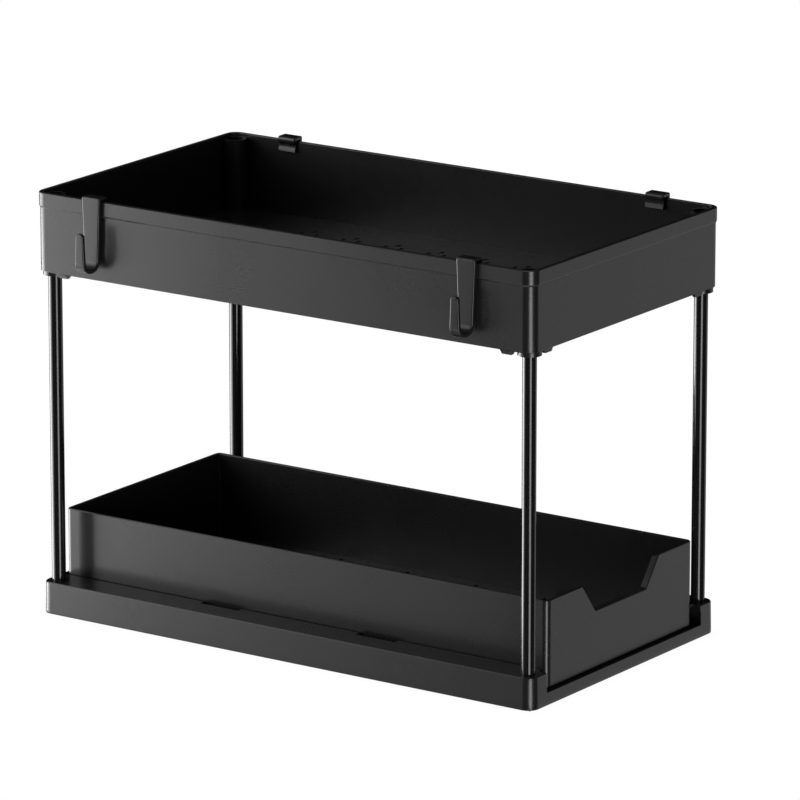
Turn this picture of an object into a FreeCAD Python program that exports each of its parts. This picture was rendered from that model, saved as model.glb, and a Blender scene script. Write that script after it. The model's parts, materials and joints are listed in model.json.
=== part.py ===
import FreeCAD, Part
import math
import os
import Sketcher

# Two-tier under sink organizer: a base with a sliding drawer, four tube legs,
# a fixed upper tray and four hooks clipped over its rim.
# X is the width, Y the depth and Z points up. The drawer pulls out towards -Y.
# The origin lies on the floor below the middle of the base. Sizes are in mm.

SIZES = {
    # Upper tray
    "tray_length": 389.2,
    "tray_width": 220,
    "tray_height": 53.1,
    "tray_wall": 2.3,
    "tray_floor": 2,
    "tray_corner": 7.5,
    "tray_bevel": 0.4,
    "rim_height": 9.6,
    "rim_step": 0.7,
    "rim_slope": 0.9,
    "rim_bevel": 0.6,
    # Corner posts of the tray, their collars and the short ribs beside them
    "post_diameter": 15.6,
    "post_drop": 2.5,
    "post_recess_diameter": 11.4,
    "post_recess_depth": 6,
    "post_web": 3.5,
    "collar_drop": 3,
    "lug_length": 11,
    "lug_slope": 2,
    "lug_width": 2.4,
    "lug_inset": 2,
    # Drain slots, in diamonds of four, alike in the tray and the drawer
    "drain_side_margin": 15,
    "drain_end_margin": 53.9,
    "drain_columns": 3,
    "drain_rows": 9,
    "drawer_drain_rows": 6,
    "drain_slot_length": 6,
    "drain_slot_width": 2.6,
    "drain_reach_x": 6.5,
    "drain_reach_y": 6,
    # Tube legs
    "leg_diameter": 9.2,
    "leg_wall": 0.8,
    "leg_inset": 8.2,
    "leg_clear": 207.8,
    "socket_clearance": 0.1,
    # Base
    "base_side_setback": 2,
    "base_end_setback": 0.5,
    "base_height": 21.6,
    "base_draft": 1.1,
    "base_corner": 7.1,
    "base_wall": 2.2,
    "base_bevel": 0.6,
    "base_post_diameter": 16.2,
    "socket_floor": 2.1,
    "rail_width": 17.3,
    "back_wall": 2.5,
    "channel_height": 8.4,
    "channel_floor": 2.2,
    "lip_reach": 4.4,
    "lip_thickness": 2,
    "lip_relief": 6.5,
    "lip_corner": 3.5,
    "gap_length": 30,
    "gap_spacing": 124,
    "rib_width": 1.8,
    "rib_setback": 1.5,
    "rib_pitch": 45,
    # Soft pads under the base posts
    "pad_width": 10.2,
    "pad_thickness": 2,
    "pad_recess": 1,
    "pad_clearance": 0.2,
    # Drawer
    "drawer_side_gap": 1,
    "drawer_end_gap": 3.4,
    "drawer_height": 58,
    "drawer_slide_gap": 0.3,
    "drawer_wall": 2.4,
    "drawer_floor": 2,
    "drawer_corner": 4,
    "drawer_rim_bevel": 0.6,
    "drawer_bevel": 0.8,
    "notch_top_width": 89.6,
    "notch_foot_width": 59.2,
    "notch_depth": 19.7,
    "notch_round": 2,
    "notch_flange": 3,
    "notch_flange_depth": 2.1,
    "tab_end_gap": 1,
    "tab_side_gap": 0.7,
    "tab_lip_gap": 0.5,
    "tab_thickness": 2.2,
    "tab_setback": 92,
    "tab_round": 2,
    # Hooks
    "hook_width": 14,
    "hook_thickness": 2.8,
    "hook_crown": 2.5,
    "hook_round": 1.3,
    "hook_clearance": 0.25,
    "hook_end_inset": 48.3,
    "hook_drop": 46.5,
    "hook_throat": 9.75,
    "hook_foot_width": 10.6,
    "prong_height": 27.5,
    "prong_foot_width": 7.2,
    "prong_width": 6,
    "clip_thickness": 3,
    "clip_round": 2,
    "clip_roll": 1.25,
    "clip_neck": 1.2,
    "clip_waist": 4.2,
    "clip_depth": 7.5,
    "clip_lip": 1.9,
    "clip_flare": 0.6,
}

# Places that several pieces share, as expressions on the sizes
BASE_X = "(Sizes.tray_width / 2 - Sizes.base_side_setback)"
BASE_Y = "(Sizes.tray_length / 2 - Sizes.base_end_setback)"
LEG_X = f"({BASE_X} - Sizes.leg_inset)"
LEG_Y = f"({BASE_Y} - Sizes.leg_inset)"
SKIRT_Z = "(Sizes.pad_thickness - Sizes.pad_recess)"
DECK_Z = f"({SKIRT_Z} + Sizes.base_height)"
CHANNEL_Z = f"({SKIRT_Z} + Sizes.channel_height)"
LIP_Z = f"({DECK_Z} - Sizes.lip_thickness)"
RAIL_X = f"({BASE_X} - Sizes.rail_width)"
LIP_X = f"({RAIL_X} - Sizes.lip_reach)"
SOCKET_Z = "(Sizes.pad_thickness + Sizes.socket_floor)"
COLLAR_Z = f"({DECK_Z} + Sizes.leg_clear)"
TRAY_Z = f"({COLLAR_Z} + Sizes.collar_drop)"
RIM_Z = f"({TRAY_Z} + Sizes.tray_height)"
POST_Z = f"({RIM_Z} - Sizes.post_drop)"
LEG_TOP_Z = f"({POST_Z} - Sizes.post_recess_depth - Sizes.post_web)"
SOCKET_R = "(Sizes.leg_diameter / 2 + Sizes.socket_clearance)"
DRAWER_X = f"({LIP_X} - Sizes.drawer_side_gap)"
DRAWER_Y = f"({BASE_Y} - Sizes.drawer_end_gap)"
DRAWER_Z = f"({CHANNEL_Z} + Sizes.drawer_slide_gap)"
DRAWER_TOP_Z = f"({DRAWER_Z} + Sizes.drawer_height)"
DRAIN_X = f"({DRAWER_X} - Sizes.drawer_wall - Sizes.drain_side_margin)"
DRAIN_Y = f"({DRAWER_Y} - Sizes.drain_end_margin)"
RIM_WALL = "(Sizes.tray_wall + Sizes.rim_step)"

SIDES = {"left": -1, "right": 1}
ENDS = {"front": -1, "back": 1}

os.makedirs("parts", exist_ok=True)
doc = FreeCAD.newDocument("UnderSinkOrganizer")
sheet = doc.addObject("Spreadsheet::Sheet", "Sizes")
for row, (name, value) in enumerate(SIZES.items(), start=1):
    sheet.set(f"A{row}", name)
    sheet.set(f"B{row}", str(value))
    sheet.setAlias(f"B{row}", name)
doc.recompute()


def number(expression):
    """Present value of an expression on the sizes."""
    return float(sheet.evalExpression(expression))


def origin_part(body, role):
    """One of the body's own planes or axes."""
    return next(feature for feature in body.Origin.OriginFeatures if feature.Role == role)


def new_body(label):
    """Empty body whose label names the piece."""
    body = doc.addObject("PartDesign::Body", label)
    body.Label = label
    return body


def new_sketch(body, name, plane="XY_Plane", offset="0"):
    """Sketch on one of the body's planes, moved along the plane's normal."""
    sketch = body.newObject("Sketcher::SketchObject", name)
    sketch.AttachmentSupport = [(origin_part(body, plane), "")]
    sketch.MapMode = "FlatFace"
    if offset != "0":
        sketch.setExpression("AttachmentOffset.Base.z", offset)
    return sketch


def fix_point(sketch, piece, spot, axis, expression):
    """Bind one coordinate of a sketch point to an expression."""
    if expression == "0":
        line = -2 if axis == "x" else -1
        sketch.addConstraint(Sketcher.Constraint("PointOnObject", piece, spot, line))
        return
    kind = "DistanceX" if axis == "x" else "DistanceY"
    bound = Sketcher.Constraint(kind, -1, 1, piece, spot, number(expression))
    index = sketch.addConstraint(bound)
    sketch.setExpression(f"Constraints[{index}]", expression)


def outline(sketch, points):
    """Closed outline through points (x, y), joined by straight lines.

    A point (x, y, turn, axis) starts an arc that turns by that many degrees,
    counterclockwise if positive. Its centre shares that axis with the point.
    """
    spots = [FreeCAD.Vector(number(point[0]), number(point[1]), 0) for point in points]
    pieces = []
    for index, point in enumerate(points):
        start = spots[index]
        end = spots[(index + 1) % len(spots)]
        if len(point) == 2:
            piece = sketch.addGeometry(Part.LineSegment(start, end))
            pieces.append((piece, 1, 2))
            continue
        turn = math.radians(point[2])
        chord = end - start
        side = FreeCAD.Vector(chord.y, -chord.x, 0).multiply(math.tan(turn / 4) / 2)
        piece = sketch.addGeometry(Part.Arc(start, (start + end) * 0.5 + side, end))
        pieces.append((piece, 1, 2) if turn > 0 else (piece, 2, 1))
    for index, (piece, first, last) in enumerate(pieces):
        following = pieces[(index + 1) % len(pieces)]
        joint = Sketcher.Constraint("Coincident", piece, last, following[0], following[1])
        sketch.addConstraint(joint)
    for point, (piece, first, last) in zip(points, pieces):
        fix_point(sketch, piece, first, "x", point[0])
        fix_point(sketch, piece, first, "y", point[1])
        if len(point) > 2:
            fix_point(sketch, piece, 3, point[3], point[0] if point[3] == "x" else point[1])


def rectangle(sketch, left, right, front, back):
    """Plain rectangle between four expressions."""
    outline(sketch, [(left, front), (right, front), (right, back), (left, back)])


def rounded_rectangle(sketch, left, right, front, back, radius):
    """Rectangle whose four corners are quarter circles."""
    outline(sketch, [
        (f"{left} + {radius}", front),
        (f"{right} - {radius}", front, 90, "x"),
        (right, f"{front} + {radius}"),
        (right, f"{back} - {radius}", 90, "y"),
        (f"{right} - {radius}", back),
        (f"{left} + {radius}", back, 90, "x"),
        (left, f"{back} - {radius}"),
        (left, f"{front} + {radius}", 90, "y"),
    ])


def centred_rectangle(sketch, half_x, half_y, radius):
    """Rounded rectangle about the middle of the organizer."""
    rounded_rectangle(sketch, f"-{half_x}", half_x, f"-{half_y}", half_y, radius)


def circle(sketch, x, y, radius):
    """Circle about a bound centre."""
    middle = FreeCAD.Vector(number(x), number(y), 0)
    piece = sketch.addGeometry(Part.Circle(middle, FreeCAD.Vector(0, 0, 1), number(radius)))
    fix_point(sketch, piece, 3, "x", x)
    fix_point(sketch, piece, 3, "y", y)
    index = sketch.addConstraint(Sketcher.Constraint("Radius", piece, number(radius)))
    sketch.setExpression(f"Constraints[{index}]", radius)


def leg_circles(sketch, radius):
    """One circle on each of the four leg axes."""
    for x in (f"-{LEG_X}", LEG_X):
        for y in (f"-{LEG_Y}", LEG_Y):
            circle(sketch, x, y, radius)


def pad(body, name, sketch, length, reverse=False, symmetric=False, taper=None):
    """Extrude a sketch along its normal, or against it, widening by a taper in degrees."""
    feature = body.newObject("PartDesign::Pad", name)
    feature.Profile = sketch
    feature.Reversed = reverse
    if symmetric:
        feature.SideType = "Symmetric"
    if taper is not None:
        feature.setExpression("TaperAngle", taper)
    feature.setExpression("Length", length)
    doc.recompute()
    return feature


def must_cut(body, feature, before):
    """Stop if a cut took nothing away."""
    doc.recompute()
    if not body.Shape.Volume < before - 1e-6:
        raise RuntimeError(f"{feature.Label} of {body.Label} cuts nothing")
    return feature


def pocket(body, name, sketch, length, reverse=False, taper=None):
    """Cut a sketch into the solid against its normal, or along it, widening by a taper."""
    before = body.Shape.Volume
    feature = body.newObject("PartDesign::Pocket", name)
    feature.Profile = sketch
    feature.Reversed = reverse
    if taper is not None:
        feature.setExpression("TaperAngle", taper)
    feature.setExpression("Length", length)
    return must_cut(body, feature, before)


def dress_edges(body, name, kind, key, size, chosen):
    """Fillet or chamfer the edges of the present solid that a test picks."""
    base = body.Tip
    edges = [f"Edge{index}" for index, edge in enumerate(base.Shape.Edges, start=1) if chosen(edge)]
    if not edges:
        raise RuntimeError(f"{name} of {body.Label} found no edge")
    feature = body.newObject(f"PartDesign::{kind}", name)
    feature.Base = (base, edges)
    feature.setExpression(key, size)
    doc.recompute()
    return feature


def round_edges(body, name, radius, chosen):
    """Fillet the edges of the present solid that a test picks."""
    return dress_edges(body, name, "Fillet", "Radius", radius, chosen)


def bevel_edges(body, name, size, chosen):
    """Chamfer the edges of the present solid that a test picks."""
    return dress_edges(body, name, "Chamfer", "Size", size, chosen)


def level(expression):
    """Test for edges that lie flat at a height."""
    height = number(expression)

    def flat(edge):
        box = edge.BoundBox
        return abs(box.ZMin - height) < 0.01 and abs(box.ZMax - height) < 0.01
    return flat


def upright_near(x, y, low, high):
    """Test for upright edges at (|x|, y) between two heights."""
    place = (number(x), number(y))
    span = (number(low) - 0.05, number(high) + 0.05)

    def upright(edge):
        box = edge.BoundBox
        if box.ZLength < 0.5 or box.ZMin < span[0] or box.ZMax > span[1]:
            return False
        return abs(abs(box.Center.x) - place[0]) < 0.3 and abs(box.Center.y - place[1]) < 0.3
    return upright


def move_to(body, x, y, z, turn=None):
    """Bind the body's place, with a half turn about an axis where it has one."""
    if turn is not None:
        rotation = FreeCAD.Rotation(FreeCAD.Vector(*turn), 180)
        body.Placement = FreeCAD.Placement(FreeCAD.Vector(0, 0, 0), rotation)
    body.setExpression("Placement.Base.x", x)
    body.setExpression("Placement.Base.y", y)
    body.setExpression("Placement.Base.z", z)


def drain_slots(body, height, floor, rows):
    """Cut the floor's drain slots: one diamond, repeated along X and Y."""
    sketch = new_sketch(body, "DrainSlots", offset=height)
    half_x = "Sizes.drain_slot_length / 2"
    half_y = "Sizes.drain_slot_width / 2"
    middles = [
        ("Sizes.drain_reach_x", "0"),
        ("-Sizes.drain_reach_x", "0"),
        ("0", "Sizes.drain_reach_y"),
        ("0", "-Sizes.drain_reach_y"),
    ]
    for x, y in middles:
        x = f"-{DRAIN_X} + {x}"
        y = f"-{DRAIN_Y} + {y}"
        rectangle(sketch, f"{x} - {half_x}", f"{x} + {half_x}", f"{y} - {half_y}", f"{y} + {half_y}")
    slots = pocket(body, "DrainDiamond", sketch, f"2 * {floor}", reverse=True)
    before = body.Shape.Volume
    pattern = body.newObject("PartDesign::LinearPattern", "DrainPattern")
    pattern.Originals = [slots]
    pattern.Direction = (origin_part(body, "X_Axis"), [""])
    pattern.Direction2 = (origin_part(body, "Y_Axis"), [""])
    pattern.setExpression("Length", f"2 * {DRAIN_X}")
    pattern.setExpression("Length2", f"2 * {DRAIN_Y}")
    pattern.setExpression("Occurrences", "Sizes.drain_columns")
    pattern.setExpression("Occurrences2", rows)
    body.Tip = pattern
    must_cut(body, pattern, before)


def make_base():
    """Base moulding: two hollow side rails, a drawer channel and corner sockets."""
    body = new_body("base_tray")

    # Outer block, a little wider at the foot than at the deck
    flare = "Sizes.base_height * tan(Sizes.base_draft)"
    foot = new_sketch(body, "FootOutline", offset=SKIRT_Z)
    centred_rectangle(foot, f"({BASE_X} + {flare})", f"({BASE_Y} + {flare})",
                      f"(Sizes.base_corner + {flare})")
    pad(body, "Block", foot, "Sizes.base_height", taper="-Sizes.base_draft")
    bevel_edges(body, "DeckEdge", "Sizes.base_bevel", level(DECK_Z))

    # Drawer channel, open at the front, undercut below a lip along each rail
    channel = new_sketch(body, "ChannelSection", "XZ_Plane", f"{BASE_Y} + 2 * Sizes.base_wall")
    above = f"{DECK_Z} + Sizes.lip_thickness"
    outline(channel, [
        (f"-{RAIL_X}", CHANNEL_Z),
        (RAIL_X, CHANNEL_Z),
        (RAIL_X, LIP_Z),
        (LIP_X, LIP_Z),
        (LIP_X, above),
        (f"-{LIP_X}", above),
        (f"-{LIP_X}", LIP_Z),
        (f"-{RAIL_X}", LIP_Z),
    ])
    pocket(body, "Channel", channel,
           f"2 * {BASE_Y} + 2 * Sizes.base_wall - Sizes.back_wall")

    # Gaps in the lips: two drop-in places for the drawer's tabs and the open front
    gaps = new_sketch(body, "LipGaps", offset=DECK_Z)
    for middle in ("-Sizes.gap_spacing / 2", "Sizes.gap_spacing / 2"):
        rectangle(gaps, f"-{RAIL_X}", RAIL_X,
                  f"{middle} - Sizes.gap_length / 2", f"{middle} + Sizes.gap_length / 2")
    relief = f"-{BASE_Y} + Sizes.lip_relief"
    rectangle(gaps, f"-{RAIL_X}", RAIL_X, f"-{BASE_Y} - 2 * Sizes.base_wall", relief)
    pocket(body, "LipCuts", gaps, "Sizes.lip_thickness")
    round_edges(body, "LipCorners", "Sizes.lip_corner",
                upright_near(LIP_X, relief, LIP_Z, DECK_Z))

    # Hollow underside below the channel floor and inside the rails
    inner_x = f"({BASE_X} - Sizes.base_wall)"
    inner_y = f"({BASE_Y} - Sizes.base_wall)"
    inner_corner = "(Sizes.base_corner - Sizes.base_wall)"
    hollow = new_sketch(body, "Underside", offset=SKIRT_Z)
    centred_rectangle(hollow, inner_x, inner_y, inner_corner)
    pocket(body, "Hollow", hollow, "Sizes.channel_height - Sizes.channel_floor", reverse=True)
    rails = new_sketch(body, "RailInside", offset=SKIRT_Z)
    rail_inner = f"({RAIL_X} + Sizes.base_wall)"
    rounded_rectangle(rails, rail_inner, inner_x, f"-{inner_y}", inner_y, inner_corner)
    rounded_rectangle(rails, f"-{inner_x}", f"-{rail_inner}", f"-{inner_y}", inner_y, inner_corner)
    pocket(body, "RailHollow", rails, "Sizes.base_height - Sizes.base_wall", reverse=True)

    # Posts that hold the legs, with their sockets and the recesses for the pads
    posts = new_sketch(body, "PostOutlines", offset=SKIRT_Z)
    leg_circles(posts, "Sizes.base_post_diameter / 2")
    pad(body, "Posts", posts, "Sizes.base_height - Sizes.base_wall / 2")
    sockets = new_sketch(body, "SocketOutlines", offset=DECK_Z)
    leg_circles(sockets, SOCKET_R)
    pocket(body, "Sockets", sockets, f"{DECK_Z} - {SOCKET_Z}")
    recesses = new_sketch(body, "PadRecessOutlines", offset=SKIRT_Z)
    half_pad = "Sizes.pad_width / 2 + Sizes.pad_clearance"
    for x in (f"-{LEG_X}", LEG_X):
        for y in (f"-{LEG_Y}", LEG_Y):
            rectangle(recesses, f"{x} - ({half_pad})", f"{x} + {half_pad}",
                      f"{y} - ({half_pad})", f"{y} + {half_pad}")
    pocket(body, "PadRecesses", recesses, "Sizes.pad_recess", reverse=True)

    # Stiffening ribs below the channel floor
    ribs = new_sketch(body, "RibOutlines", offset=f"{SKIRT_Z} + Sizes.rib_setback")
    half_rib = "Sizes.rib_width / 2"
    for step in (-1, 0, 1):
        middle = f"{step} * Sizes.rib_pitch"
        rectangle(ribs, f"{middle} - {half_rib}", f"{middle} + {half_rib}",
                  f"-{BASE_Y} + Sizes.base_wall / 2", f"{BASE_Y} - Sizes.base_wall / 2")
    pad(body, "Ribs", ribs, "Sizes.channel_height - Sizes.channel_floor / 2 - Sizes.rib_setback")
    return body


def make_tray():
    """Upper tray: thin walls, a proud rim band and four corner posts."""
    body = new_body("top_tray")

    # Walls, rim band and inside
    outer_x = "(Sizes.tray_width / 2 - Sizes.rim_step)"
    outer_y = "(Sizes.tray_length / 2 - Sizes.rim_step)"
    walls = new_sketch(body, "WallOutline", offset=TRAY_Z)
    centred_rectangle(walls, outer_x, outer_y, "Sizes.tray_corner")
    pad(body, "Walls", walls, "Sizes.tray_height")
    bevel_edges(body, "FootEdge", "Sizes.tray_bevel", level(TRAY_Z))
    band = new_sketch(body, "RimOutline", offset=RIM_Z)
    centred_rectangle(band, "(Sizes.tray_width / 2)", "(Sizes.tray_length / 2)",
                      "(Sizes.tray_corner + Sizes.rim_step)")
    pad(body, "RimBand", band, "Sizes.rim_height", reverse=True)
    slope = new_sketch(body, "SlopeOutline", offset=f"{RIM_Z} - Sizes.rim_height")
    centred_rectangle(slope, "(Sizes.tray_width / 2)", "(Sizes.tray_length / 2)",
                      "(Sizes.tray_corner + Sizes.rim_step)")
    pad(body, "BandSlope", slope, "1.3 * Sizes.rim_slope", reverse=True,
        taper="-atan(Sizes.rim_step / Sizes.rim_slope)")
    inside = new_sketch(body, "InsideOutline", offset=RIM_Z)
    centred_rectangle(inside, f"({outer_x} - Sizes.tray_wall)", f"({outer_y} - Sizes.tray_wall)",
                      "(Sizes.tray_corner - Sizes.tray_wall)")
    bevel_edges(body, "RimEdge", "Sizes.rim_bevel", level(RIM_Z))
    pocket(body, "Inside", inside, "Sizes.tray_height - Sizes.tray_floor")

    # Posts with collars below the floor, sockets from below and recesses on top
    posts = new_sketch(body, "PostOutlines", offset=COLLAR_Z)
    leg_circles(posts, "Sizes.post_diameter / 2")
    pad(body, "Posts", posts, f"{POST_Z} - {COLLAR_Z}")
    sockets = new_sketch(body, "SocketOutlines", offset=COLLAR_Z)
    leg_circles(sockets, SOCKET_R)
    pocket(body, "Sockets", sockets, f"{LEG_TOP_Z} - {COLLAR_Z}", reverse=True)
    recesses = new_sketch(body, "RecessOutlines", offset=POST_Z)
    leg_circles(recesses, "Sizes.post_recess_diameter / 2")
    pocket(body, "PostRecesses", recesses, "Sizes.post_recess_depth")

    # Short tapered lugs below the floor, beside each collar
    sink = "Sizes.tray_floor / 2"
    near = "(Sizes.post_diameter / 2 - Sizes.lug_slope / 2)"
    far = f"({near} + Sizes.lug_length)"

    def lug(name, plane, along, offset):
        section = new_sketch(body, f"{name}Section", plane, offset)
        outline(section, [
            (f"{along} - {far} + Sizes.lug_slope", COLLAR_Z),
            (f"{along} - {near} - Sizes.lug_slope", COLLAR_Z),
            (f"{along} - {near}", TRAY_Z),
            (f"{along} - {near}", f"{TRAY_Z} + {sink}"),
            (f"{along} - {far}", f"{TRAY_Z} + {sink}"),
            (f"{along} - {far}", TRAY_Z),
        ])
        return pad(body, name, section, "Sizes.lug_width", reverse=True)

    side_lug = lug("SideLug", "YZ_Plane", LEG_Y, f"{outer_x} - Sizes.lug_inset")
    end_lug = lug("EndLug", "XZ_Plane", LEG_X, f"{outer_y} - Sizes.lug_inset")
    mirrors = body.newObject("PartDesign::MultiTransform", "Lugs")
    across = body.newObject("PartDesign::Mirrored", "LugsAcross")
    across.MirrorPlane = (origin_part(body, "YZ_Plane"), [""])
    along = body.newObject("PartDesign::Mirrored", "LugsAlong")
    along.MirrorPlane = (origin_part(body, "XZ_Plane"), [""])
    mirrors.Originals = [side_lug, end_lug]
    mirrors.Transformations = [across, along]
    body.Tip = mirrors
    doc.recompute()

    drain_slots(body, TRAY_Z + " - Sizes.tray_floor / 2", "Sizes.tray_floor", "Sizes.drain_rows")
    return body


def make_drawer():
    """Drawer: thin upright walls, a finger notch at the front and four side tabs."""
    body = new_body("drawer")

    # Shell and inside
    wall = "Sizes.drawer_wall"
    foot = new_sketch(body, "FootOutline", offset=DRAWER_Z)
    centred_rectangle(foot, DRAWER_X, DRAWER_Y, "Sizes.drawer_corner")
    pad(body, "Shell", foot, "Sizes.drawer_height")
    bevel_edges(body, "FootEdge", "Sizes.drawer_bevel", level(DRAWER_Z))
    inside = new_sketch(body, "InsideOutline", offset=DRAWER_TOP_Z)
    centred_rectangle(inside, f"({DRAWER_X} - {wall})", f"({DRAWER_Y} - {wall})",
                      f"(Sizes.drawer_corner - {wall})")
    pocket(body, "Inside", inside, "Sizes.drawer_height - Sizes.drawer_floor")

    # Thicker margin round the finger notch, on the inside of the front panel
    notch_z = f"({DRAWER_TOP_Z} - Sizes.notch_depth)"
    half_top = "Sizes.notch_top_width / 2"
    half_foot = "Sizes.notch_foot_width / 2"
    flange = new_sketch(body, "FlangeOutline", "XZ_Plane", f"{DRAWER_Y} - {wall} / 2")
    flange_top = f"{DRAWER_TOP_Z} - 2 * Sizes.drawer_rim_bevel"
    outline(flange, [
        (f"-{half_foot} - Sizes.notch_flange", f"{notch_z} - Sizes.notch_flange"),
        (f"{half_foot} + Sizes.notch_flange", f"{notch_z} - Sizes.notch_flange"),
        (f"{half_top} + Sizes.notch_flange", flange_top),
        (f"-{half_top} - Sizes.notch_flange", flange_top),
    ])
    pad(body, "NotchFlange", flange, f"{wall} / 2 + Sizes.notch_flange_depth", reverse=True)

    # Finger notch with sloping sides, then the rim's bevelled edges
    above = f"{DRAWER_TOP_Z} + Sizes.drawer_wall"
    notch = new_sketch(body, "NotchOutline", "XZ_Plane", f"{DRAWER_Y} + {wall}")
    outline(notch, [
        (f"-{half_foot}", notch_z),
        (half_foot, notch_z),
        (half_top, DRAWER_TOP_Z),
        (half_top, above),
        (f"-{half_top}", above),
        (f"-{half_top}", DRAWER_TOP_Z),
    ])
    pocket(body, "Notch", notch, f"4 * {wall}")
    corners = [(half_foot, notch_z), (half_top, DRAWER_TOP_Z)]
    places = [(number(x), number(z)) for x, z in corners]

    def notch_corner(edge):
        middle = edge.BoundBox.Center
        across = edge.BoundBox.YLength > number(wall) / 2 and edge.BoundBox.XLength < 0.1
        front = middle.y < 0
        return across and front and any(
            abs(abs(middle.x) - x) < 0.1 and abs(middle.z - z) < 0.1 for x, z in places)
    round_edges(body, "NotchCorners", "Sizes.notch_round", notch_corner)
    bevel_edges(body, "RimEdges", "Sizes.drawer_rim_bevel", level(DRAWER_TOP_Z))

    # Tabs that run below the lips of the base
    tab_z = f"({LIP_Z} - Sizes.tab_lip_gap - Sizes.tab_thickness)"
    tab_x = f"({RAIL_X} - Sizes.tab_side_gap)"
    half_tab = "(Sizes.gap_length / 2 - Sizes.tab_end_gap)"
    root = f"({DRAWER_X} - {wall} / 2)"
    tabs = new_sketch(body, "TabOutlines", offset=tab_z)
    for side in ("-Sizes.gap_spacing / 2", "Sizes.gap_spacing / 2"):
        middle = f"({side} + Sizes.tab_setback)"
        rectangle(tabs, root, tab_x, f"{middle} - {half_tab}", f"{middle} + {half_tab}")
        rectangle(tabs, f"-{tab_x}", f"-{root}", f"{middle} - {half_tab}", f"{middle} + {half_tab}")
    pad(body, "Tabs", tabs, "Sizes.tab_thickness")
    tab_end = number(tab_x)
    round_edges(body, "TabCorners", "Sizes.tab_round", lambda edge: (
        abs(abs(edge.BoundBox.Center.x) - tab_end) < 0.01
        and edge.BoundBox.YLength < 0.01 and edge.BoundBox.ZLength > 0.1))

    drain_slots(body, DRAWER_Z + " - Sizes.drawer_floor / 2", "Sizes.drawer_floor", "Sizes.drawer_drain_rows")
    return body


def make_leg(label, x, y):
    """Straight steel tube from the base's socket floor to the web in the tray's post."""
    body = new_body(label)
    section = new_sketch(body, "TubeSection")
    circle(section, "0", "0", "Sizes.leg_diameter / 2")
    circle(section, "0", "0", "Sizes.leg_diameter / 2 - Sizes.leg_wall")
    pad(body, "Tube", section, f"{LEG_TOP_Z} - {SOCKET_Z}")
    move_to(body, x, y, SOCKET_Z)
    return body


def make_pad(label, x, y):
    """Square soft pad, seated in the base's recess."""
    body = new_body(label)
    section = new_sketch(body, "PadOutline")
    half = "Sizes.pad_width / 2"
    rectangle(section, f"-{half}", half, f"-{half}", half)
    pad(body, "Block", section, "Sizes.pad_thickness")
    move_to(body, x, y, "0")
    doc.recompute()
    return body


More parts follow.
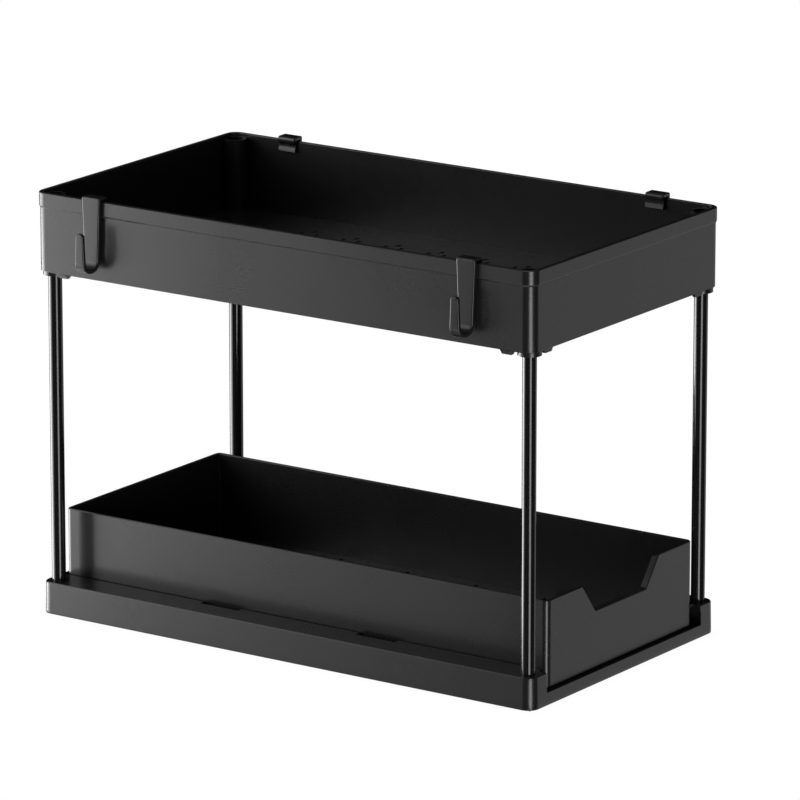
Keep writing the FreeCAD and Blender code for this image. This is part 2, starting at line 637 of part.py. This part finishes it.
def make_hook(label, side, y):
    """Clip-on hook. Its own X points outwards from the rim and its Z starts at the rim's top."""
    body = new_body(label)

    # Side view: clip with a rolled edge and a lip over the rim, strap, round bend and upright prong
    strap_in = "Sizes.hook_clearance"
    strap_out = "(Sizes.hook_clearance + Sizes.hook_thickness)"
    clip_in = f"(-{RIM_WALL} - Sizes.hook_clearance)"
    clip_out = f"({clip_in} - Sizes.clip_thickness)"
    top = "(Sizes.hook_clearance + Sizes.hook_crown)"
    lip_in = f"{clip_in} - Sizes.clip_lip"
    neck = f"{clip_in} - Sizes.clip_neck"
    prong_in = f"({strap_out} + Sizes.hook_throat)"
    prong_out = f"({prong_in} + Sizes.hook_thickness)"
    bend_z = "(-Sizes.hook_drop + Sizes.hook_throat / 2 + Sizes.hook_thickness)"
    tip_z = "(-Sizes.hook_drop + Sizes.prong_height)"
    section = new_sketch(body, "HookSection", "XZ_Plane")
    outline(section, [
        (strap_in, bend_z),
        (strap_in, "Sizes.hook_clearance"),
        (clip_in, "Sizes.hook_clearance"),
        (clip_in, "-Sizes.clip_waist"),
        (f"{clip_in} - Sizes.clip_flare", "-Sizes.clip_depth"),
        (f"{lip_in} - Sizes.clip_flare", "-Sizes.clip_depth"),
        (lip_in, "-Sizes.clip_waist"),
        (neck, "-Sizes.clip_waist"),
        (neck, "-Sizes.clip_roll"),
        (clip_out, "-Sizes.clip_roll"),
        (clip_out, f"{top} - Sizes.clip_round", -90, "y"),
        (f"{clip_out} + Sizes.clip_round", top),
        (f"{strap_out} - Sizes.hook_round", top, -90, "x"),
        (strap_out, f"{top} - Sizes.hook_round"),
        (strap_out, bend_z, 180, "y"),
        (prong_in, bend_z),
        (prong_in, f"{tip_z} - Sizes.hook_thickness / 2", -180, "y"),
        (prong_out, f"{tip_z} - Sizes.hook_thickness / 2"),
        (prong_out, bend_z, -180, "y"),
    ])
    pad(body, "Strip", section, "Sizes.hook_width", symmetric=True)

    # The strap narrows downwards, the bend towards the prong, and the prong ends in a half round
    wide = "Sizes.hook_width"
    low = "-Sizes.hook_drop - Sizes.hook_thickness"
    half_strap = "Sizes.hook_width / 2"
    half_foot = "Sizes.hook_foot_width / 2"
    taper = new_sketch(body, "StrapTaper", "YZ_Plane")
    for sign in ("", "-"):
        outline(taper, [
            (f"{sign}{half_foot}", low),
            (f"{sign}{wide}", low),
            (f"{sign}{wide}", "0"),
            (f"{sign}{half_strap}", "0"),
            (f"{sign}{half_foot}", bend_z),
        ])
    pocket(body, "Taper", taper, f"2 * {prong_out}", reverse=True)
    half_prong_foot = "Sizes.prong_foot_width / 2"
    bend = new_sketch(body, "BendTaper", offset=low)
    for sign in ("", "-"):
        outline(bend, [
            (strap_out, f"{sign}{half_foot}"),
            (prong_in, f"{sign}{half_prong_foot}"),
            (f"2 * {prong_out}", f"{sign}{half_prong_foot}"),
            (f"2 * {prong_out}", f"{sign}{wide}"),
            (strap_out, f"{sign}{wide}"),
        ])
    pocket(body, "Bend", bend, f"{bend_z} - ({low})", reverse=True)
    middle = f"{strap_out} + Sizes.hook_throat / 2"
    half_prong = "Sizes.prong_width / 2"
    round_z = f"({tip_z} - {half_prong})"
    tongue = new_sketch(body, "ProngOutline", "YZ_Plane", middle)
    outline(tongue, [
        (f"-{wide}", low),
        (f"-{half_foot}", low),
        (f"-{half_foot}", bend_z),
        (f"-{half_prong_foot}", bend_z),
        (f"-{half_prong}", round_z, -180, "y"),
        (half_prong, round_z),
        (half_prong_foot, bend_z),
        (half_foot, bend_z),
        (half_foot, low),
        (wide, low),
        (wide, f"{tip_z} + {wide}"),
        (f"-{wide}", f"{tip_z} + {wide}"),
    ])
    pocket(body, "Prong", tongue, f"2 * {prong_out}", reverse=True)
    turn = (0, 0, 1) if side < 0 else None
    move_to(body, f"{side} * Sizes.tray_width / 2", y, RIM_Z, turn)
    doc.recompute()
    return body


pieces = [make_base(), make_tray(), make_drawer()]
for end_name, end in ENDS.items():
    for side_name, side in SIDES.items():
        corner = f"{end_name}_{side_name}"
        leg_x = f"{side} * {LEG_X}"
        leg_y = f"{end} * {LEG_Y}"
        pieces.append(make_leg(f"leg_{corner}", leg_x, leg_y))
        pieces.append(make_pad(f"foot_pad_{corner}", leg_x, leg_y))
        hook_y = f"{end} * (Sizes.tray_length / 2 - Sizes.hook_end_inset)"
        pieces.append(make_hook(f"hook_{side_name}_{end_name}", side, hook_y))
doc.recompute()

for item in doc.Objects:
    if "Invalid" in item.State or "Error" in item.State:
        raise RuntimeError(f"{item.Label} failed: {item.State}")
for piece in pieces:
    shape = piece.Shape
    if shape.isNull() or not shape.isValid() or len(shape.Solids) != 1:
        raise RuntimeError(f"{piece.Label} is not one valid solid")
for piece in pieces:
    piece.Shape.exportStep(f"parts/{piece.Label}.step")
    print(piece.Label, round(piece.Shape.Volume, 1), piece.Shape.BoundBox)
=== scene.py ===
"""Looks of the two-tier under sink organizer: moulded black plastic on gloss black tubes."""

import json
import math

import bmesh
import bpy
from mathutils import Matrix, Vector

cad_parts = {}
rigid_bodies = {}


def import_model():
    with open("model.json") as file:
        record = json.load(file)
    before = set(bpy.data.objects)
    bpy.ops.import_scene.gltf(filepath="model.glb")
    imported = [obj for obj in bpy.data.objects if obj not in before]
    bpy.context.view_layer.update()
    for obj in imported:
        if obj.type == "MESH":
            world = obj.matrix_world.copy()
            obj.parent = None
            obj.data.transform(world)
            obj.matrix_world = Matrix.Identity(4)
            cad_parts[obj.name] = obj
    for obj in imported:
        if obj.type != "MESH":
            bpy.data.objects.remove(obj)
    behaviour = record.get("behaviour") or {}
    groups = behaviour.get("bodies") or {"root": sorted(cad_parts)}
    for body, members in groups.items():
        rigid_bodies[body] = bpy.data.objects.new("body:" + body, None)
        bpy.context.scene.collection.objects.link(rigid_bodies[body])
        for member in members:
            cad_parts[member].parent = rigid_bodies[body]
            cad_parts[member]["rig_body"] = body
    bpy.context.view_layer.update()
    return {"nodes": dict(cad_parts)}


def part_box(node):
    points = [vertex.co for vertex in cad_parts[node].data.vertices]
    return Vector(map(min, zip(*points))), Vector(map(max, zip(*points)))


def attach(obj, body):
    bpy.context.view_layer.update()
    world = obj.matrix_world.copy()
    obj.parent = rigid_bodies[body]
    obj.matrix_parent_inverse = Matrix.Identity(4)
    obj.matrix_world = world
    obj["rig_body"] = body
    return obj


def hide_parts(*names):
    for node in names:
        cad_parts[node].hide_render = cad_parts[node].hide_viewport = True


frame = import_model()
nodes = frame["nodes"]
MM = 0.001

# Rounding of edges, as radii
WALL_ROUND = 0.3 * MM
RIM_ROUND = 0.8 * MM
HOOK_ROUND = 0.8 * MM
TUBE_ROUND = 0.2 * MM
PAD_ROUND = 0.5 * MM

# An edge is hard above the first turn, and takes the whole rounding from the second
HARD_TURN = math.radians(25)
SQUARE_TURN = math.radians(80)

# Points closer than this are one point, and faces that turn less than this are one face
WELD_DISTANCE = 0.002 * MM
FLAT_TURN = 0.005

# The tray's rim: its outer face, its top, the height of its band, and how exactly an edge is level
tray_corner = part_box("top_tray")[1]
RIM_FACE = tray_corner[0]
RIM_TOP = tray_corner[2]
RIM_BAND = 9.6 * MM
LEVEL_WITHIN = 0.02 * MM

# A hook's clip inside the rim, as depths behind the rim's face, and its share of the hook's rounding
CLIP_NEAR = 3.1 * MM
CLIP_FAR = 6.1 * MM
CLIP_TOP = RIM_TOP + 0.4 * MM
CLIP_SHARE = 0.4

# A face of a hook is a side where its normal lies along Y by this much
SIDEWAYS = 0.95

# The camera of the photograph: a long lens, seen from the front left corner and a little above
CAMERA_PLACE = Vector((-3.5598, -2.4848, 1.3012))
CAMERA_BACK = Vector((-0.7946, -0.5505, 0.2560))
CAMERA_LENS = 310.08
SENSOR_WIDTH = 36.0
TOWARDS_CAMERA = Vector((-0.8220, -0.5695, 0.0))
TO_THE_LEFT = Vector((TOWARDS_CAMERA.y, -TOWARDS_CAMERA.x, 0.0))

# The studio, with heights from the object's foot
TABLE_MARGIN = 4 * MM
LOW_FLOOR = -1.3
LOW_FLOOR_RADIUS = 14.0
UNDER_CARD = -1.28
UNDER_CARD_RADIUS = 1.45
GRADED_CARD = -1.27
CARD_DISTANCE = 2.2
CARD_FOOT = -1.2
CARD_TOP = 0.5
FLAG_TOP = 1.8
CARD_STEPS = 16
DISC_CORNERS = 64

# Sockets of a Mix node that blends colours
MIX_FIRST = 6
MIX_SECOND = 7
MIX_RESULT = 2


class Value:
    """A socket of a material's node tree, so that shader maths reads as plain arithmetic."""

    def __init__(self, finish, socket):
        self.finish = finish
        self.socket = socket

    def math(self, operation, first, second):
        return self.finish.node("ShaderNodeMath", {"operation": operation}, [first, second])

    def __add__(self, other):
        return self.math("ADD", self, other)

    def __mul__(self, other):
        return self.math("MULTIPLY", self, other)

    def __sub__(self, other):
        return self.math("SUBTRACT", self, other)

    def __rsub__(self, other):
        return self.math("SUBTRACT", other, self)

    __radd__ = __add__
    __rmul__ = __mul__

    def larger(self, other):
        return self.math("MAXIMUM", self, other)

    def between(self, low, high):
        """0 at low, 1 at high, and smooth between them."""
        settings = {"interpolation_type": "SMOOTHSTEP", "clamp": True}
        sockets = {"Value": self, "From Min": low, "From Max": high}
        return self.finish.node("ShaderNodeMapRange", settings, sockets)


class Finish:
    """One material and the nodes that make it."""

    def __init__(self, name, tree=None):
        if tree is None:
            self.material = bpy.data.materials.new(name)
            self.material.use_nodes = True
            tree = self.material.node_tree
        self.tree = tree
        self.tree.nodes.clear()

    def node(self, kind, settings=None, sockets=None, output=0):
        """Add a node: its settings first, then the values or links of its sockets."""
        made = self.tree.nodes.new(kind)
        for name, value in (settings or {}).items():
            setattr(made, name, value)
        pairs = sockets.items() if isinstance(sockets, dict) else enumerate(sockets or [])
        for name, value in pairs:
            if isinstance(value, Value):
                self.tree.links.new(value.socket, made.inputs[name])
            else:
                made.inputs[name].default_value = value
        return Value(self, made.outputs[output]) if made.outputs else None

    def place(self):
        """Where a point is on its own piece, in metres."""
        return self.node("ShaderNodeTexCoord", output="Object")

    def noise(self, size, detail):
        """Cloudy values round 0.5, with blots of about that size in metres."""
        sockets = {"Vector": self.place(), "Scale": 1 / size, "Detail": detail}
        return self.node("ShaderNodeTexNoise", {}, sockets)

    def blend(self, share, first, second):
        """A colour between two colours."""
        sockets = {"Factor": share, MIX_FIRST: first, MIX_SECOND: second}
        return self.node("ShaderNodeMix", {"data_type": "RGBA"}, sockets, output=MIX_RESULT)

    def bump(self, height, strength, depth):
        sockets = {"Height": height, "Strength": strength, "Distance": depth}
        return self.node("ShaderNodeBump", {}, sockets)

    def coated(self, **sockets):
        """Finish with one Principled shader. Its sockets are named with _ for a space."""
        named = {name.replace("_", " "): value for name, value in sockets.items()}
        return self.surface(self.node("ShaderNodeBsdfPrincipled", {}, named))

    def glowing(self, colour, strength):
        """Finish with one Emission shader."""
        return self.surface(self.node("ShaderNodeEmission", {}, {"Color": colour, "Strength": strength}))

    def surface(self, shader):
        self.node("ShaderNodeOutputMaterial", {}, {"Surface": shader})
        return self.material


def grey(level):
    return (level, level, level, 1.0)


def shade(colour, share):
    """A colour made lighter or darker."""
    return (*[share * part for part in colour], 1.0)


def moulded_plastic(name, colour, roughness):
    """Satin black injection moulding: fine even grain, slight flow clouds."""
    finish = Finish(name)
    clouds = finish.noise(size=0.06, detail=3.0)
    grain = finish.noise(size=0.0005, detail=2.0)
    tone = finish.blend(clouds, shade(colour, 0.90), shade(colour, 1.10))
    rough = roughness - 0.03 + 0.05 * clouds + 0.03 * grain
    normal = finish.bump(grain, strength=0.05, depth=0.0001)
    return finish.coated(Base_Color=tone, Roughness=rough, IOR=1.47, Normal=normal)


def enamelled_tube(name):
    """Gloss black enamel on drawn steel tube, with a trace of orange peel."""
    finish = Finish(name)
    peel = finish.noise(size=0.004, detail=2.0)
    clouds = finish.noise(size=0.05, detail=2.0)
    tone = finish.blend(clouds, (0.007, 0.007, 0.0073, 1.0), (0.009, 0.009, 0.0093, 1.0))
    rough = 0.10 + 0.04 * clouds
    normal = finish.bump(peel, strength=0.02, depth=0.0002)
    return finish.coated(Base_Color=tone, Roughness=rough, IOR=1.43, Normal=normal)


def soft_rubber(name):
    """Matt foam rubber of the foot pads."""
    finish = Finish(name)
    cells = finish.noise(size=0.0012, detail=3.0)
    tone = finish.blend(cells, grey(0.018), grey(0.034))
    rough = 0.78 + 0.14 * cells
    normal = finish.bump(cells, strength=0.3, depth=0.0002)
    return finish.coated(Base_Color=tone, Roughness=rough, Normal=normal)


def everywhere(place):
    """The same rounding on every edge."""
    return 1.0


def hook_edges(place):
    """Strap, bend and prong are well rounded, and the thin clip inside the rim only a little."""
    inside = CLIP_NEAR < RIM_FACE - abs(place.x) < CLIP_FAR
    return CLIP_SHARE if inside and place.z < CLIP_TOP else 1.0


def as_moulded(shape):
    """A piece with no edges that need a step of their own."""


def rounded_rim(shape):
    """The tray's top edges and the foot of its rim band are rounded more than its other edges."""
    for height in (RIM_TOP, RIM_TOP - RIM_BAND):
        level = [e for e in shape.edges if all(abs(v.co.z - height) < LEVEL_WITHIN for v in e.verts)]
        sharp = [e for e in level if e.is_convex and e.calc_face_angle(0.0) > HARD_TURN]
        bmesh.ops.bevel(shape, geom=sharp, offset=RIM_ROUND, offset_type="OFFSET", segments=3,
                        profile=0.5, affect="EDGES", clamp_overlap=False)


def one_face_sides(shape):
    """Each side of a hook as one face, so that no sliver is left beside its bend."""
    creases = [e for e in shape.edges if all(abs(f.normal.y) > SIDEWAYS for f in e.link_faces)]
    bmesh.ops.dissolve_edges(shape, edges=creases, use_verts=True)


def plain_shape(name, share, first):
    """A solid's mesh with few faces, and a weight on each edge that a mould rounds."""
    shape = bmesh.new()
    shape.from_mesh(nodes[name].data)
    bmesh.ops.remove_doubles(shape, verts=shape.verts, dist=WELD_DISTANCE)
    bmesh.ops.dissolve_limit(shape, angle_limit=FLAT_TURN, verts=shape.verts, edges=shape.edges)
    first(shape)
    rounding = shape.edges.layers.float.new("bevel_weight_edge")
    for face in shape.faces:
        face.smooth = True
    for edge in shape.edges:
        turn = edge.calc_face_angle(0.0)
        hard = turn > HARD_TURN
        if hard and edge.is_convex:
            middle = (edge.verts[0].co + edge.verts[1].co) / 2
            edge[rounding] = share(middle) * min(1.0, turn / SQUARE_TURN)
        edge.smooth = edge.is_convex or not hard
    mesh = bpy.data.meshes.new(name + "_skin")
    shape.to_mesh(mesh)
    shape.free()
    return mesh


def moulded(name, radius, material, share=everywhere, first=as_moulded, steps=3, clamp=True):
    """A copy of a solid with its hard edges rounded as a mould leaves them. It stands for the solid."""
    mesh = plain_shape(name, share, first)
    mesh.materials.append(material)
    piece = bpy.data.objects.new(name + "_skin", mesh)
    bpy.context.scene.collection.objects.link(piece)
    edges = piece.modifiers.new("rounded_edges", "BEVEL")
    edges.limit_method = "WEIGHT"
    edges.width = radius
    edges.segments = steps
    edges.use_clamp_overlap = clamp
    even = piece.modifiers.new("even_shading", "WEIGHTED_NORMAL")
    even.keep_sharp = True
    body = nodes[name]["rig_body"]
    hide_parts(name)
    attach(piece, body)


tray_black = moulded_plastic("tray_black", (0.010, 0.010, 0.0105), roughness=0.27)
hook_black = moulded_plastic("hook_black", (0.006, 0.006, 0.0063), roughness=0.30)
tube_black = enamelled_tube("tube_black")
pad_black = soft_rubber("pad_black")


def hook(name):
    """A clip-on hook, a bent strip with well rounded edges."""
    moulded(name, HOOK_ROUND, hook_black, hook_edges, one_face_sides, steps=4, clamp=False)


def leg(name):
    """A steel tube, cut square, with the edges of its ends lightly broken."""
    moulded(name, TUBE_ROUND, tube_black, steps=2)


def foot_pad(name):
    """A soft pad under a post of the base."""
    moulded(name, PAD_ROUND, pad_black)


def top_tray(name):
    """The fixed upper tray with its rounded rim."""
    moulded(name, WALL_ROUND, tray_black, first=rounded_rim)


def lower_moulding(name):
    """The base or the drawer."""
    moulded(name, WALL_ROUND, tray_black)


makers = {"hook": hook, "leg": leg, "foot": foot_pad, "top": top_tray, "base": lower_moulding,
          "drawer": lower_moulding}
for name in nodes:
    makers[name.split("_")[0]](name)


def around(degrees, distance, height):
    """A place round the object: degrees to the camera's left, distance from the middle, height."""
    turn = math.radians(degrees)
    flat = TOWARDS_CAMERA * math.cos(turn) + TO_THE_LEFT * math.sin(turn)
    return flat * distance + Vector((0, 0, height))


def softbox(name, place, aim, wide, tall, watts):
    """A lit rectangle that faces a point."""
    lamp = bpy.data.lights.new(name, "AREA")
    lamp.shape = "RECTANGLE"
    lamp.size = wide
    lamp.size_y = tall
    lamp.energy = watts
    lit = bpy.data.objects.new(name, lamp)
    lit.location = place
    lit.rotation_mode = "QUATERNION"
    lit.rotation_quaternion = (Vector(aim) - Vector(place)).to_track_quat("-Z", "Y")
    lit.visible_camera = False
    bpy.context.scene.collection.objects.link(lit)


def stage_sheet(name, corners, faces, material, in_picture=False):
    """A paper or card of the studio, which isn't part of the object."""
    mesh = bpy.data.meshes.new(name)
    mesh.from_pydata(corners, [], faces)
    mesh.materials.append(material)
    sheet = bpy.data.objects.new(name, mesh)
    bpy.context.scene.collection.objects.link(sheet)
    sheet.visible_camera = in_picture


def round_sheet(name, radius, middle, material, in_picture=False):
    """A level round sheet of the studio."""
    turns = [2 * math.pi * i / DISC_CORNERS for i in range(DISC_CORNERS)]
    corners = [middle + radius * Vector((math.cos(turn), math.sin(turn), 0)) for turn in turns]
    stage_sheet(name, corners, [list(range(DISC_CORNERS))], material, in_picture)


def standing_card(name, start, end, low, high, material):
    """A card that stands round the object out of the picture, from one angle to another."""
    angles = [start + (end - start) * i / CARD_STEPS for i in range(CARD_STEPS + 1)]
    corners = [around(angle, CARD_DISTANCE, height) for height in (low, high) for angle in angles]
    above = len(angles)
    faces = [[i, i + 1, i + 1 + above, i + above] for i in range(CARD_STEPS)]
    stage_sheet(name, corners, faces, material)


def white_paper(name, share):
    """White to the eye and in gloss. What is left of it takes light and shadow as paper does."""
    finish = Finish(name)
    seen = finish.node("ShaderNodeLightPath", output="Is Camera Ray")
    for ray in ("Is Glossy Ray", "Is Transmission Ray"):
        seen = seen.larger(finish.node("ShaderNodeLightPath", output=ray))
    paper = finish.node("ShaderNodeBsdfDiffuse", {}, {"Color": grey(0.85)})
    glow = finish.node("ShaderNodeEmission", {}, {"Color": grey(1.0), "Strength": 1.0})
    return finish.surface(finish.node("ShaderNodeMixShader", {}, [seen * share, paper, glow]))


def black_card():
    """Card that keeps light away."""
    finish = Finish("black_card")
    return finish.surface(finish.node("ShaderNodeBsdfDiffuse", {}, {"Color": grey(0.01)}))


def glow_card(name, strength):
    """Evenly lit card."""
    return Finish(name).glowing(grey(1.0), strength)


def graded_card():
    """Dark card with a bright far side, parted along a curve that the foot of the rim band mirrors."""
    finish = Finish("graded_card")
    place = finish.place()
    across = finish.node("ShaderNodeSeparateXYZ", {}, [place], output="X")
    along = finish.node("ShaderNodeSeparateXYZ", {}, [place], output="Y")
    curve_bend = 0.18
    dark_until, bright_from = 1.38, 1.46
    bright = (along - curve_bend * across * across).between(dark_until, bright_from)
    return finish.glowing(finish.blend(bright, grey(0.02), grey(9.0)), 1.0)


def soft_room():
    """Dim room above a pale horizon."""
    world = bpy.data.worlds.new("studio")
    bpy.context.scene.world = world
    world.use_nodes = True
    room = Finish("studio", world.node_tree)
    way = room.node("ShaderNodeTexCoord", output="Generated")
    height = room.node("ShaderNodeSeparateXYZ", {}, [way], output="Z")
    pale_until, dim_from = 0.06, 0.2
    level = room.blend(height.between(pale_until, dim_from), grey(0.9), grey(0.08))
    glow = room.node("ShaderNodeBackground", {}, {"Color": level, "Strength": 1.0})
    room.node("ShaderNodeOutputWorld", {}, {"Surface": glow})


def floors():
    """A white table a little larger than the base, and a wide white floor far below it."""
    low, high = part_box("base_tray")
    left, right = low[0] - TABLE_MARGIN, high[0] + TABLE_MARGIN
    front, back = low[1] - TABLE_MARGIN, high[1] + TABLE_MARGIN
    table = [(left, front, 0), (right, front, 0), (right, back, 0), (left, back, 0)]
    stage_sheet("floor", table, [[0, 1, 2, 3]], white_paper("table_paper", 0.98), in_picture=True)
    middle = Vector((0, 0, LOW_FLOOR))
    round_sheet("low_floor", LOW_FLOOR_RADIUS, middle, white_paper("floor_paper", 1.0), in_picture=True)


def under_cards():
    """Cards just above the low floor. They show in edges that look down."""
    middle = around(-120, 1.0, UNDER_CARD)
    round_sheet("under_card", UNDER_CARD_RADIUS, middle, glow_card("under_card", 0.22))
    left, right, front, back = -1.3, 1.9, 0.7, 1.8
    corners = [(left, front), (right, front), (right, back), (left, back)]
    corners = [(x, y, GRADED_CARD) for x, y in corners]
    stage_sheet("graded_card", corners, [[0, 1, 2, 3]], graded_card())


def cards_round_the_object():
    """Dark flags and lit cards, which give the black faces their tones and the round edges their stripes."""
    behind_right, behind_left = -180, 180
    paper_back, paper_front = -135, -98
    strip_right, strip_left = -32, -8
    sheet_front, sheet_back = 63.7, 78
    glow_front, high_flag_front, glow_back = 94, 104, 129
    fill_top = 0.05
    strip_top = 0.4
    glow_foot, glow_top = -0.68, -0.12
    edge_foot = -1.0
    dark = black_card()
    fill = glow_card("fill_card", 0.3)
    strip = glow_card("front_strip", 6.4)
    paper = glow_card("side_paper", 0.68)
    sheet = glow_card("side_sheet", 0.85)
    glow = glow_card("edge_glow", 12.0)
    standing_card("flag_left", strip_left, sheet_front, CARD_FOOT, CARD_TOP, dark)
    standing_card("flag_right", paper_front, strip_right, CARD_FOOT, CARD_TOP, dark)
    standing_card("flag_back", behind_right, paper_back, fill_top, FLAG_TOP, dark)
    standing_card("fill_card", behind_right, paper_back, CARD_FOOT, fill_top, fill)
    standing_card("flag_back_high", high_flag_front, behind_left, glow_top, FLAG_TOP, dark)
    standing_card("front_strip", strip_right, strip_left, CARD_FOOT, strip_top, strip)
    standing_card("side_paper", paper_back, paper_front, CARD_FOOT, CARD_TOP, paper)
    standing_card("side_sheet", sheet_front, sheet_back, CARD_FOOT, CARD_TOP, sheet)
    standing_card("edge_glow", glow_front, glow_back, glow_foot, glow_top, glow)
    standing_card("flag_edge", glow_back, behind_left, edge_foot, glow_top, dark)


def lamps():
    """A tall key at the left, a wide one above it, and a faint one overhead."""
    key_place = around(86.5, 1.25, 0.18)
    upper_place = around(92, 1.6, 1.0)
    softbox("key", key_place, aim=(-0.05, 0.1, 0.18), wide=0.46, tall=1.08, watts=7.7)
    softbox("upper_key", upper_place, aim=(0, 0, 0.28), wide=2.0, tall=1.4, watts=17.5)
    softbox("top", (0.2, 0.1, 1.8), aim=(0, 0, 0.2), wide=1.0, tall=1.0, watts=3)


def camera():
    """The photograph's view."""
    lens = bpy.data.cameras.new("camera")
    lens.lens = CAMERA_LENS
    lens.sensor_width = SENSOR_WIDTH
    lens.clip_start = 0.1
    lens.clip_end = 50.0
    eye = bpy.data.objects.new("camera", lens)
    eye.location = CAMERA_PLACE
    eye.rotation_mode = "QUATERNION"
    eye.rotation_quaternion = CAMERA_BACK.to_track_quat("Z", "Y")
    bpy.context.scene.collection.objects.link(eye)
    bpy.context.scene.camera = eye


floors()
under_cards()
cards_round_the_object()
lamps()
soft_room()
camera()
bpy.context.scene.view_settings.view_transform = "Standard"
